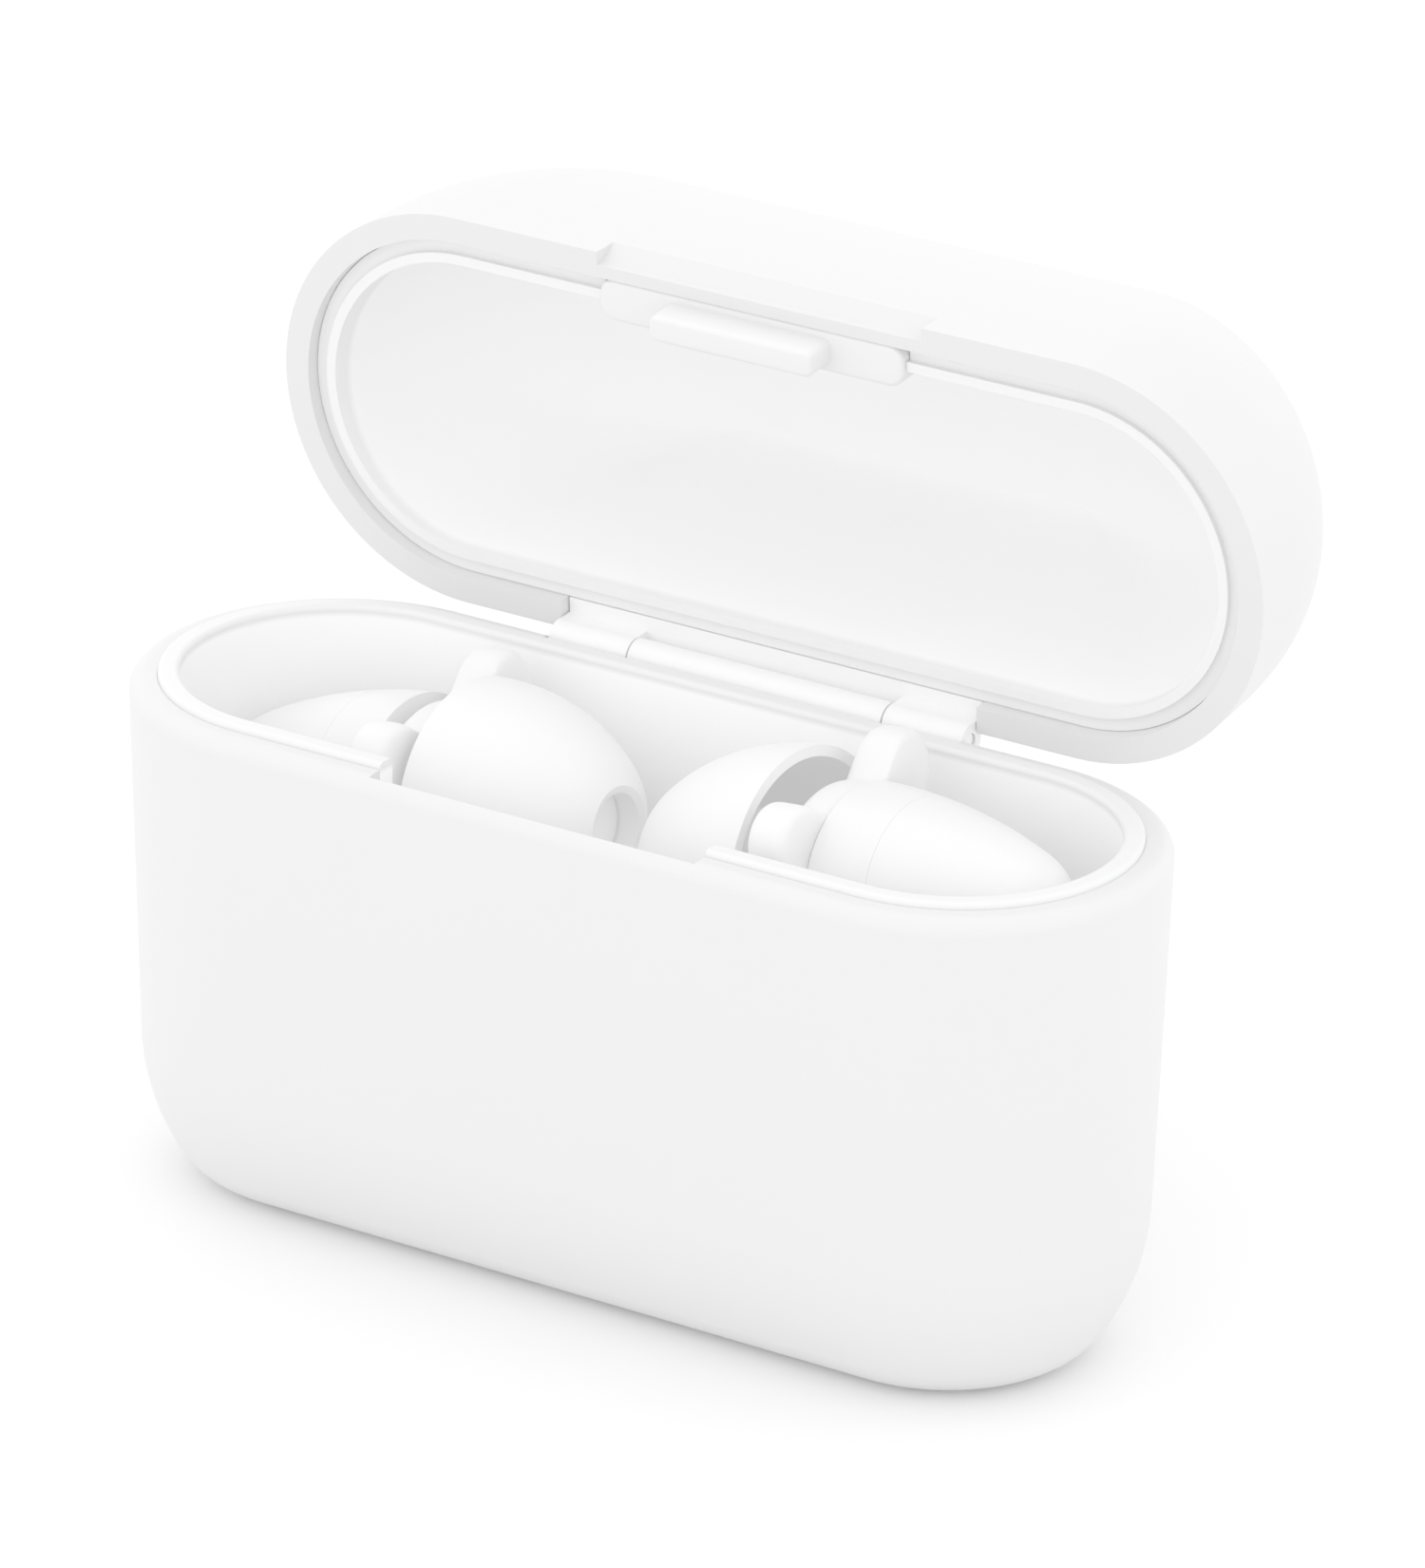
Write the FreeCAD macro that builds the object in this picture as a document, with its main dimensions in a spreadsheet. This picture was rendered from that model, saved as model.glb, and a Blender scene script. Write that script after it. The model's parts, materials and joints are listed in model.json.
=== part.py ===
import FreeCAD, Part
import math
import os
import re
import Sketcher

V = FreeCAD.Vector

# ---------------------------------------------------------------------------------------------
# Driving dimensions, millimetres and degrees. Origin: middle of the flat bottom, +Z up,
# X along the case, -Y is the front (latch side), +Y the back (hinge side).
# ---------------------------------------------------------------------------------------------
SIZES = {
    # base
    "case_length": 60.6,
    "case_depth": 22.6,
    "base_height": 28.6,
    "wall": 1.5,
    "wall_draft": 0.55,
    "foot_inset": 5.1,
    "foot_rise": 8.57,
    "foot_radius": 3.7,
    "rim_round": 0.9,
    "port_z": 10.0,
    "port_slot_width": 9.4,
    "port_slot_height": 3.7,
    "button_x": 13.0,
    "button_radius": 2.1,
    "button_hole_radius": 2.25,
    # tray
    "tray_gap": 0.02,
    "tray_wall": 1.15,
    "tray_floor": 15.6,
    "tray_floor_thickness": 1.2,
    "lip_rise": 0.35,
    "lip_round": 0.3,
    "notch_half": 10.0,
    "notch_depth": 3.4,
    # lid, drawn closed and then swung open
    "lid_height": 18.36,
    "lid_wall": 1.45,
    "lid_rim_straight": 2.03,
    "lid_side_draft": 0.09,
    "lid_end_inset": 15.83,
    "lid_side_inset": 6.37,
    "liner_gap": 0.9,
    "liner_wall": 0.55,
    "liner_recess": 0.45,
    "lid_open_angle": 85.77,
    # hinge
    "hinge_y": 11.68,
    "hinge_drop": 0.45,
    "hinge_half": 12.9,
    "knuckle_half": 7.9,
    "knuckle_radius": 1.05,
    "pin_radius": 0.45,
    "pin_bore_radius": 0.5,
    "running_gap": 0.12,
    # latch
    "latch_half": 9.3,
    "latch_shift": -0.6,
    "tongue_half": 5.0,
    "tongue_reach": 2.0,
    "tongue_thickness": 1.6,
    # earbuds, in their own frame: +Z towards the ear tip, +X up, Z = 0 at the ear tip's open rim
    "tip_radius": 6.9,
    "tip_length": 9.9,
    "tip_nose_radius": 5.2,
    "tip_wall": 0.6,
    "tip_port_radius": 1.9,
    "sleeve_outer": 3.1,
    "sleeve_inner": 2.3,
    "nozzle_radius": 2.25,
    "nozzle_bore": 1.5,
    "collar_seat": 4.0,
    "body_radius": 5.57,
    "body_end": 16.3,
    "body_side_radius": 28.0,
    "body_wall": 0.9,
    "seam_z": 7.3,
    "lobe_reach": 8.3,
    "bud_yaw": -4.4,
    "bud_pitch": 7.0,
    "left_bud_x": -10.5,
    "left_bud_y": 0.4,
    "left_bud_z": -5.7,
    "right_bud_x": 10.25,
    "right_bud_y": 0.0,
    "right_bud_z": -4.55,
    # battery and boards
    "battery_length": 38.0,
    "battery_width": 12.6,
    "battery_thickness": 5.0,
    "battery_z": 2.05,
    "battery_y": -0.5,
    "board_z": 7.6,
    "board_thickness": 0.8,
    "pin_board_z": 12.5,
    "pin_board_thickness": 0.6,
    "post_x": 22.6,
    "post_y": 4.4,
}

doc = FreeCAD.newDocument("EarbudCase")
sheet = doc.addObject("Spreadsheet::Sheet", "Sizes")
for row, (alias, number) in enumerate(SIZES.items(), start=1):
    sheet.set("A%d" % row, alias)
    sheet.set("B%d" % row, str(number))
    sheet.setAlias("B%d" % row, alias)
doc.recompute()

subparts = []


def bound(formula):
    """Point every size name in a formula at its cell."""
    names = re.compile(r"[a-z_]+[a-z]")
    return names.sub(lambda word: "Sizes." + word.group() if word.group() in SIZES else word.group(),
                     str(formula))


def size(formula):
    """The number that a formula of the sheet's names gives."""
    return float(sheet.evalExpression(bound(formula)))


def origin_item(body, role):
    return [item for item in body.Origin.OriginFeatures if item.Role == role][0]


def new_body(name, placement=None):
    body = doc.addObject("PartDesign::Body", name)
    body.Label = name
    if placement is not None:
        body.Placement = placement
    subparts.append(body)
    return body


def new_sketch(body, plane, offset="0"):
    sketch = body.newObject("Sketcher::SketchObject", body.Name + "_sketch")
    sketch.AttachmentSupport = [(origin_item(body, plane), "")]
    sketch.MapMode = "FlatFace"
    sketch.setExpression("AttachmentOffset.Base.z", bound(offset))
    return sketch


def fix(sketch, kind, geometry, point, formula):
    index = sketch.addConstraint(Sketcher.Constraint(kind, -1, 1, geometry, point, size(formula)))
    sketch.setExpression("Constraints[%d]" % index, bound(formula))


def arc_about(centre_x, centre_y, ccw=True):
    """The stretch to the next point is an arc about this centre."""
    return {"centre": (centre_x, centre_y), "ccw": ccw}


def outline(sketch, points):
    """Draw a closed outline; each point is (x, y) or (x, y, arc_about(...)), all as formulas."""
    places = [V(size(point[0]), size(point[1]), 0) for point in points]
    ends = []
    for i, point in enumerate(points):
        start, stop = places[i], places[(i + 1) % len(points)]
        if len(point) == 2:
            geometry = sketch.addGeometry(Part.LineSegment(start, stop))
            ends.append((geometry, 1, 2))
        else:
            arc = point[2]
            centre = V(size(arc["centre"][0]), size(arc["centre"][1]), 0)
            first, last = (start, stop) if arc["ccw"] else (stop, start)
            angle_from = math.atan2(first.y - centre.y, first.x - centre.x)
            angle_to = math.atan2(last.y - centre.y, last.x - centre.x)
            if angle_to <= angle_from:
                angle_to += 2 * math.pi
            circle = Part.Circle(centre, V(0, 0, 1), (start - centre).Length)
            geometry = sketch.addGeometry(Part.ArcOfCircle(circle, angle_from, angle_to))
            ends.append((geometry, 1, 2) if arc["ccw"] else (geometry, 2, 1))
    for i, (geometry, start, stop) in enumerate(ends):
        following = ends[(i + 1) % len(ends)]
        sketch.addConstraint(Sketcher.Constraint("Coincident", geometry, stop, following[0], following[1]))
        fix(sketch, "DistanceX", geometry, start, points[i][0])
        fix(sketch, "DistanceY", geometry, start, points[i][1])
        if len(points[i]) == 3:
            chord = places[(i + 1) % len(places)] - places[i]
            across = abs(chord.y) > abs(chord.x)
            axis, coordinate = ("DistanceX", 0) if across else ("DistanceY", 1)
            fix(sketch, axis, geometry, 3, points[i][2]["centre"][coordinate])
    return sketch


def circle_in(sketch, x, y, radius):
    geometry = sketch.addGeometry(Part.Circle(V(size(x), size(y), 0), V(0, 0, 1), size(radius)))
    fix(sketch, "DistanceX", geometry, 3, x)
    fix(sketch, "DistanceY", geometry, 3, y)
    index = sketch.addConstraint(Sketcher.Constraint("Radius", geometry, size(radius)))
    sketch.setExpression("Constraints[%d]" % index, bound(radius))


def box_in(sketch, x_low, y_low, x_high, y_high):
    return outline(sketch, [(x_low, y_low), (x_high, y_low), (x_high, y_high), (x_low, y_high)])


def stadium_in(sketch, half_straight, radius):
    """A slot outline: two half circles joined by straight sides."""
    right, left = half_straight, "-(%s)" % half_straight
    return outline(sketch, [
        (left, "-(%s)" % radius),
        (right, "-(%s)" % radius, arc_about(right, "0")),
        (right, radius),
        (left, radius, arc_about(left, "0")),
    ])


def feature(body, kind, sketch, length=None, midplane=False, reverse=False):
    item = body.newObject("PartDesign::" + kind, body.Name + "_" + kind.lower())
    item.Profile = sketch
    if length is not None:
        item.setExpression("Length", bound(length))
    if midplane:
        item.Midplane = True
    if reverse:
        item.Reversed = True
    sketch.Visibility = False
    return item


def cut_checked(body, kind, sketch, length, midplane=False, reverse=False):
    """A pocket that has to take material away."""
    doc.recompute()
    before = body.Shape.Volume
    item = feature(body, kind, sketch, length, midplane, reverse)
    doc.recompute()
    if body.Shape.Volume >= before - 1e-6:
        item.Reversed = not item.Reversed
        doc.recompute()
    if body.Shape.Volume >= before - 1e-6:
        raise RuntimeError(body.Label + ": a pocket cuts nothing")
    return item


def turned(body, sketch, kind="Revolution", axis="V_Axis", angle=360.0, midplane=False):
    item = body.newObject("PartDesign::" + kind, body.Name + "_" + kind.lower())
    item.Profile = sketch
    item.ReferenceAxis = (sketch, [axis])
    item.Angle = angle
    item.Midplane = midplane
    sketch.Visibility = False
    return item


def mirrored_outline(half):
    """Complete an outline given for positive x only, which starts and ends on the axis."""
    other = []
    count = len(half)
    for i in range(count - 2, 0, -1):
        x, y = half[i][0], half[i][1]
        before = half[i - 1]
        if len(before) == 3:
            arc = before[2]
            mirrored = arc_about("-(%s)" % arc["centre"][0], arc["centre"][1], arc["ccw"])
            other.append(("-(%s)" % x, y, mirrored))
        else:
            other.append(("-(%s)" % x, y))
    last_arc = half[count - 2] if len(half[count - 2]) == 3 else None
    turn = half[count - 1][:2]
    if last_arc is not None:
        arc = last_arc[2]
        turn = turn + (arc_about("-(%s)" % arc["centre"][0], arc["centre"][1], arc["ccw"]),)
    return list(half[:-1]) + [turn] + other


def moved_outline(half, centre_x, side):
    """Put a half outline against an upright axis at centre_x, on that axis's +x or -x side."""
    joint = "+" if side > 0 else "-"
    moved = []
    for point in half:
        place = ("(%s) %s (%s)" % (centre_x, joint, point[0]), point[1])
        if len(point) == 3:
            arc = point[2]
            place += (arc_about("(%s) %s (%s)" % (centre_x, joint, arc["centre"][0]), arc["centre"][1],
                                arc["ccw"] if side > 0 else not arc["ccw"]),)
        moved.append(place)
    return moved


def stadium_shell(body, half_straight, half):
    """A cup of stadium plan: one section drawn along the middle and turned round both ends."""
    middle = outline(new_sketch(body, "YZ_Plane"), mirrored_outline(half))
    feature(body, "Pad", middle, "2 * (%s)" % half_straight, midplane=True)
    for side in (1, -1):
        centre_x = half_straight if side > 0 else "-(%s)" % half_straight
        end = outline(new_sketch(body, "XZ_Plane"), moved_outline(half, centre_x, side))
        place = size(centre_x)
        axis = end.addGeometry(Part.LineSegment(V(place, 0, 0), V(place, 10, 0)), True)
        fix(end, "DistanceX", axis, 1, centre_x)
        fix(end, "DistanceY", axis, 1, "0")
        fix(end, "DistanceX", axis, 2, centre_x)
        fix(end, "DistanceY", axis, 2, "10")
        turned(body, end, axis="Axis0", angle=180.0, midplane=True)


def corner(inset, rise, nose):
    """Centres and meeting point of the two arcs that round a corner inset by rise, as formulas
    measured from the corner's own centre: the nose arc at the far end, the flank arc at the side."""
    flank = "((%(a)s)^2 + ((%(b)s) - (%(n)s))^2 - (%(n)s)^2) / (2 * ((%(a)s) - (%(n)s)))" % {
        "a": inset, "b": rise, "n": nose}
    share = "(%s) / ((%s) - (%s))" % (nose, flank, nose)
    return {
        "flank_centre": "(%s) - (%s)" % (inset, flank),
        "nose_centre": "(%s) - (%s)" % (rise, nose),
        "meet_across": "(%s) * ((%s) - (%s))" % (share, flank, inset),
        "meet_along": "((%s) - (%s)) * (1 + %s)" % (rise, nose, share),
    }


HALF_STRAIGHT = "(case_length - case_depth) / 2"
HALF_DEPTH = "case_depth / 2"


# ---------------------------------------------------------------------------------------------
# Base shell: a smooth stadium cup whose foot is rounded by two arcs
# ---------------------------------------------------------------------------------------------
def cup_outline(inner_offset, top, floor_height):
    """Half section of the cup, from its inner floor over the rim and down to the flat foot."""
    foot = corner("foot_inset", "foot_rise", "foot_radius")
    flat = "(%s - wall_draft - foot_inset)" % HALF_DEPTH
    inner_share = "((foot_radius - wall) / foot_radius)"
    nose = (flat, "foot_rise - (%s)" % foot["nose_centre"])
    flank = ("%s + %s" % (flat, foot["flank_centre"]), "foot_rise")
    meet_in = ("%s + %s * %s" % (flat, inner_share, foot["meet_across"]),
               "foot_rise - (%s) - %s * ((%s) - (%s))" % (foot["nose_centre"], inner_share,
                                                        foot["meet_along"], foot["nose_centre"]))
    meet_out = ("%s + %s" % (flat, foot["meet_across"]), "foot_rise - %s" % foot["meet_along"])
    return [
        ("0", floor_height),
        (flat, floor_height, arc_about(*nose)),
        meet_in + (arc_about(*flank),),
        ("%s + foot_inset - %s" % (flat, inner_offset), "foot_rise"),
        ("%s - %s" % (HALF_DEPTH, inner_offset), top),
        ("%s - rim_round" % HALF_DEPTH, top,
         arc_about("%s - rim_round" % HALF_DEPTH, "%s - rim_round" % top, False)),
        (HALF_DEPTH, "%s - rim_round" % top),
        ("%s + foot_inset" % flat, "foot_rise", arc_about(*flank, ccw=False)),
        meet_out + (arc_about(*nose, ccw=False),),
        (flat, "0"),
        ("0", "0"),
    ]


base_shell = new_body("base_shell")
stadium_shell(base_shell, HALF_STRAIGHT, cup_outline("wall", "base_height", "wall"))
posts = new_sketch(base_shell, "XY_Plane", "wall - 0.4")
for x in ("post_x", "-post_x"):
    for y in ("post_y", "-post_y"):
        circle_in(posts, x, y, "1.35")
feature(base_shell, "Pad", posts, "board_z - wall + 0.4")
screw_holes = new_sketch(base_shell, "XY_Plane", "board_z")
for x in ("post_x", "-post_x"):
    for y in ("post_y", "-post_y"):
        circle_in(screw_holes, x, y, "0.7")
cut_checked(base_shell, "Pocket", screw_holes, "4.4")
hinge_notch = box_in(new_sketch(base_shell, "YZ_Plane"), "hinge_y - 2.0", "base_height - 3.0",
                     "hinge_y + 2.0", "base_height + 1")
cut_checked(base_shell, "Pocket", hinge_notch, "2 * hinge_half + 0.2", midplane=True)
front_chamfer = outline(new_sketch(base_shell, "YZ_Plane"), [
    ("-%s + 0.55" % HALF_DEPTH, "base_height + 0.1"),
    ("-%s + 0.55" % HALF_DEPTH, "base_height - 0.2"),
    ("-%s + 2" % HALF_DEPTH, "base_height - 1.0"),
    ("-%s + 2" % HALF_DEPTH, "base_height + 0.1"),
])
cut_checked(base_shell, "Pocket", front_chamfer, "2 * notch_half", midplane=True)
port_slot = new_sketch(base_shell, "XZ_Plane", "-case_depth")
half_slot = "(port_slot_width - port_slot_height) / 2"
outline(port_slot, [
    ("-" + half_slot, "port_z - port_slot_height / 2"),
    (half_slot, "port_z - port_slot_height / 2", arc_about(half_slot, "port_z")),
    (half_slot, "port_z + port_slot_height / 2"),
    ("-" + half_slot, "port_z + port_slot_height / 2", arc_about("-" + half_slot, "port_z")),
])
cut_checked(base_shell, "Pocket", port_slot, "case_depth - 3")
button_hole = new_sketch(base_shell, "XZ_Plane", "-case_depth")
circle_in(button_hole, "button_x", "port_z", "button_hole_radius")
cut_checked(base_shell, "Pocket", button_hole, "case_depth - 3")


# ---------------------------------------------------------------------------------------------
# Charging tray: the inner cup whose upstanding lip shows above the rim of the shell
# ---------------------------------------------------------------------------------------------
def drafted(offset, height):
    """Half depth of the case walls at a height, less an offset."""
    return "(%s - (%s) - wall_draft * (base_height - (%s)) / (base_height - foot_rise))" % (
        HALF_DEPTH, offset, height)


LIP_TOP = "(base_height + lip_rise)"
TRAY_BOTTOM = "(tray_floor - tray_floor_thickness)"
OUTSIDE = "wall + tray_gap"
INSIDE = "wall + tray_gap + tray_wall"

charging_tray = new_body("charging_tray")
lip_outer = "(%s - (%s))" % (HALF_DEPTH, OUTSIDE)
lip_inner = "(%s - (%s))" % (HALF_DEPTH, INSIDE)
stadium_shell(charging_tray, HALF_STRAIGHT, [
    ("0", "tray_floor"),
    (drafted(INSIDE, "tray_floor"), "tray_floor"),
    (lip_inner, LIP_TOP + " - lip_round",
     arc_about(lip_inner + " + lip_round", LIP_TOP + " - lip_round", False)),
    (lip_inner + " + lip_round", LIP_TOP),
    (lip_outer + " - lip_round", LIP_TOP,
     arc_about(lip_outer + " - lip_round", LIP_TOP + " - lip_round", False)),
    (lip_outer, LIP_TOP + " - lip_round"),
    (drafted(OUTSIDE, TRAY_BOTTOM), TRAY_BOTTOM),
    ("0", TRAY_BOTTOM),
])
notch = box_in(new_sketch(charging_tray, "YZ_Plane"), "-case_depth", "base_height - notch_depth",
               "-%s + 4.2" % HALF_DEPTH, "base_height + 2")
cut_checked(charging_tray, "Pocket", notch, "2 * notch_half", midplane=True)


# ---------------------------------------------------------------------------------------------
# Lid: outer dome and inner liner, each lofted through stadium sections
# ---------------------------------------------------------------------------------------------
SECTION_ANGLES = (0, 15, 30, 45, 60, 75, 90)


def lid_sections(body, offset, start):
    """Stadium sketches from the rim to the crown, all set in by an offset."""
    rim_radius = "%s - (%s)" % (HALF_DEPTH, offset)
    rim = new_sketch(body, "XY_Plane", start)
    sections = [stadium_in(rim, HALF_STRAIGHT, rim_radius)]
    for angle in SECTION_ANGLES:
        shrink = "(1 - cos(%d))" % angle
        height = "base_height + lid_rim_straight + (lid_height - lid_rim_straight - (%s)) * sin(%d)" % (
            offset, angle)
        level = new_sketch(body, "XY_Plane", height)
        sections.append(stadium_in(
            level,
            "%s - (lid_end_inset - lid_side_inset) * %s" % (HALF_STRAIGHT, shrink),
            "%s - (%s) - lid_side_draft - (lid_side_inset - (%s)) * %s" % (
                HALF_DEPTH, offset, offset, shrink)))
    return sections


def lid_loft(body, kind, offset, start):
    sections = lid_sections(body, offset, start)
    doc.recompute()
    loft = body.newObject("PartDesign::" + kind, body.Name + "_loft")
    loft.Profile = sections[0]
    loft.Sections = sections[1:]
    for section in sections:
        section.Visibility = False
    doc.recompute()


hinge_axis = V(0, size("hinge_y"), size("base_height - hinge_drop"))
open_lid = FreeCAD.Placement(V(0, 0, 0), FreeCAD.Rotation(V(1, 0, 0), -size("lid_open_angle")), hinge_axis)

lid_shell = new_body("lid_shell", open_lid)
lid_loft(lid_shell, "AdditiveLoft", "0", "base_height")
lid_loft(lid_shell, "SubtractiveLoft", "lid_wall", "base_height")
lid_notch = box_in(new_sketch(lid_shell, "YZ_Plane"), "hinge_y - 2.0", "base_height - 1",
                   "hinge_y + 2.0", "base_height + 2.7")
cut_checked(lid_shell, "Pocket", lid_notch, "2 * hinge_half + 0.2", midplane=True)
scoop = outline(new_sketch(lid_shell, "YZ_Plane"), [
    ("-%s - 1" % HALF_DEPTH, "base_height - 1"),
    ("-%s + 0.75" % HALF_DEPTH, "base_height - 1"),
    ("-%s + 0.75" % HALF_DEPTH, "base_height + 0.5"),
    ("-%s" % HALF_DEPTH, "base_height + 1.8"),
    ("-%s - 1" % HALF_DEPTH, "base_height + 1.8"),
])
cut_checked(lid_shell, "Pocket", scoop, "2 * notch_half", midplane=True)

lid_liner = new_body("lid_liner", open_lid)
LINER_OUT = "lid_wall + liner_gap"
lid_loft(lid_liner, "AdditiveLoft", LINER_OUT, "base_height + liner_recess")
flange = new_sketch(lid_liner, "XY_Plane", "base_height + liner_recess + 0.35")
stadium_in(flange, HALF_STRAIGHT, "%s - lid_wall - lid_side_draft" % HALF_DEPTH)
feature(lid_liner, "Pad", flange, "0.6")
lid_loft(lid_liner, "SubtractiveLoft", LINER_OUT + " + liner_wall", "base_height + liner_recess")
latch_gap = box_in(new_sketch(lid_liner, "YZ_Plane", "latch_shift"), "-case_depth", "base_height - 1",
                   "-%s + 4.0" % HALF_DEPTH, "base_height + 4.4")
cut_checked(lid_liner, "Pocket", latch_gap, "2 * latch_half + 0.2", midplane=True)

lid_latch = new_body("lid_latch", open_lid)
latch_plate = box_in(new_sketch(lid_latch, "YZ_Plane", "latch_shift"), "-%s + 1.7" % HALF_DEPTH,
                     "base_height + 0.04", "-%s + 3.85" % HALF_DEPTH, "base_height + 3.9")
feature(lid_latch, "Pad", latch_plate, "2 * latch_half", midplane=True)
latch_rim = box_in(new_sketch(lid_latch, "YZ_Plane", "latch_shift"), "-%s + lid_wall + 0.07" % HALF_DEPTH,
                   "base_height + 0.04", "-%s + 1.8" % HALF_DEPTH, "base_height + 0.5")
feature(lid_latch, "Pad", latch_rim, "2 * latch_half", midplane=True)
tongue = box_in(new_sketch(lid_latch, "YZ_Plane", "latch_shift"), "-%s + 1.85" % HALF_DEPTH,
                "base_height - tongue_reach", "-%s + 1.85 + tongue_thickness" % HALF_DEPTH,
                "base_height + 0.5")
feature(lid_latch, "Pad", tongue, "2 * tongue_half", midplane=True)

lid_magnet = new_body("lid_magnet", open_lid)
magnet = box_in(new_sketch(lid_magnet, "YZ_Plane", "13"), "-%s + 1.8" % HALF_DEPTH, "base_height + 2.4",
                "-%s + 2.35" % HALF_DEPTH, "base_height + 4.9")
feature(lid_magnet, "Pad", magnet, "5")


# ---------------------------------------------------------------------------------------------
# Hinge: a middle knuckle on the base, two outer knuckles on the lid, one steel pin
# ---------------------------------------------------------------------------------------------
HINGE_Z = "(base_height - hinge_drop)"
BACK_IN = "(%s - wall + 0.03)" % HALF_DEPTH
BACK_OUT = "(%s - 0.1)" % HALF_DEPTH


def hinge_circle(body, radius):
    sketch = new_sketch(body, "YZ_Plane")
    circle_in(sketch, "hinge_y", HINGE_Z, radius)
    return sketch


hinge_base = new_body("hinge_base")
for y_low, z_low, y_high, z_high, width in (
        (BACK_IN, "base_height - 2.9", BACK_OUT, "base_height - 1.7", "2 * hinge_half"),
        (BACK_IN, "base_height - 1.75", "hinge_y - knuckle_radius - running_gap", "base_height - 0.1",
         "2 * hinge_half"),
        ("hinge_y - knuckle_radius - running_gap - 0.2", "base_height - 1.75", "hinge_y - 0.2", HINGE_Z,
         "2 * knuckle_half")):
    feature(hinge_base, "Pad", box_in(new_sketch(hinge_base, "YZ_Plane"), y_low, z_low, y_high, z_high),
            width, midplane=True)
feature(hinge_base, "Pad", hinge_circle(hinge_base, "knuckle_radius"), "2 * knuckle_half", midplane=True)
cut_checked(hinge_base, "Pocket", hinge_circle(hinge_base, "pin_radius + 0.02"), "2 * hinge_half",
            midplane=True)

hinge_lid = new_body("hinge_lid", open_lid)
for y_low, z_low, y_high, z_high in (
        (BACK_IN, "base_height + 0.75", BACK_OUT, "base_height + 2.6"),
        ("hinge_y - 1.0", HINGE_Z, "hinge_y - 0.2", "base_height + 0.9")):
    feature(hinge_lid, "Pad", box_in(new_sketch(hinge_lid, "YZ_Plane"), y_low, z_low, y_high, z_high),
            "2 * hinge_half", midplane=True)
feature(hinge_lid, "Pad", hinge_circle(hinge_lid, "knuckle_radius"), "2 * hinge_half", midplane=True)
middle_gap = box_in(new_sketch(hinge_lid, "YZ_Plane"), "hinge_y - 4", "base_height - 3",
                    "hinge_y + 3", "base_height + 0.74")
cut_checked(hinge_lid, "Pocket", middle_gap, "2 * (knuckle_half + running_gap)", midplane=True)
cut_checked(hinge_lid, "Pocket", hinge_circle(hinge_lid, "pin_bore_radius"), "2 * hinge_half + 2",
            midplane=True)

hinge_pin = new_body("hinge_pin")
feature(hinge_pin, "Pad", hinge_circle(hinge_pin, "pin_radius"), "2 * hinge_half - 0.2", midplane=True)


# ---------------------------------------------------------------------------------------------
# Battery, boards, port and button under the tray
# ---------------------------------------------------------------------------------------------
def block(name, place, size_xyz):
    """A rectangular piece with its low corner at a place."""
    item = doc.addObject("Part::Box", name)
    item.Label = name
    for prop, formula in zip(("Length", "Width", "Height"), size_xyz):
        item.setExpression(prop, bound(formula))
    for axis, formula in zip("xyz", place):
        item.setExpression("Placement.Base." + axis, bound(formula))
    return item


def rod(name, place, radius, height):
    """An upright cylinder with the centre of its foot at a place."""
    item = doc.addObject("Part::Cylinder", name)
    item.Label = name
    item.setExpression("Radius", bound(radius))
    item.setExpression("Height", bound(height))
    for axis, formula in zip("xyz", place):
        item.setExpression("Placement.Base." + axis, bound(formula))
    return item


def group(name, members):
    """Separate solids that share one node."""
    item = doc.addObject("Part::Compound", name)
    item.Label = name
    item.Links = members
    subparts.append(item)
    return item


def joined(name, members):
    item = doc.addObject("Part::MultiFuse", name)
    item.Label = name
    item.Shapes = members
    subparts.append(item)
    return item


def cut_away(name, base, tool):
    item = doc.addObject("Part::Cut", name)
    item.Label = name
    item.Base = base
    item.Tool = tool
    subparts.append(item)
    return item


def single(item):
    subparts.append(item)
    return item


single(block("battery_tape", ("-battery_length / 2 + 4", "battery_y - 4", "wall + 0.02"),
             ("battery_length - 8", "8", "battery_z - wall - 0.04")))

battery_cell = new_body("battery_cell")
cell_side = box_in(new_sketch(battery_cell, "YZ_Plane"), "battery_y - battery_width / 2", "battery_z",
                   "battery_y + battery_width / 2", "battery_z + battery_thickness")
feature(battery_cell, "Pad", cell_side, "battery_length", midplane=True)
group("battery_leads", [
    rod("lead_" + side, ("-battery_length / 2 - 0.6", y, "battery_z + 1.5"), "0.35",
        "board_z - battery_z - 1.55")
    for side, y in (("red", "1.2"), ("black", "-1.2"))])

main_board = new_body("main_board")
board_plan = new_sketch(main_board, "XY_Plane", "board_z")
stadium_in(board_plan, "16.6", "8.2")
feature(main_board, "Pad", board_plan, "board_thickness")
board_holes = new_sketch(main_board, "XY_Plane", "board_z - 1")
for x in ("post_x", "-post_x"):
    for y in ("post_y", "-post_y"):
        circle_in(board_holes, x, y, "0.75")
cut_checked(main_board, "Pocket", board_holes, "board_thickness + 2", reverse=True)

BOARD_TOP = "(board_z + board_thickness)"
group("main_board_chips", [
    block("charge_chip", ("-9", "-3", BOARD_TOP), ("4", "4", "0.9")),
    block("control_chip", ("-2.5", "-5", BOARD_TOP), ("5", "5", "0.8")),
    block("coil_chip", ("6", "-4.5", BOARD_TOP), ("3", "3", "1.4")),
])

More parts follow.
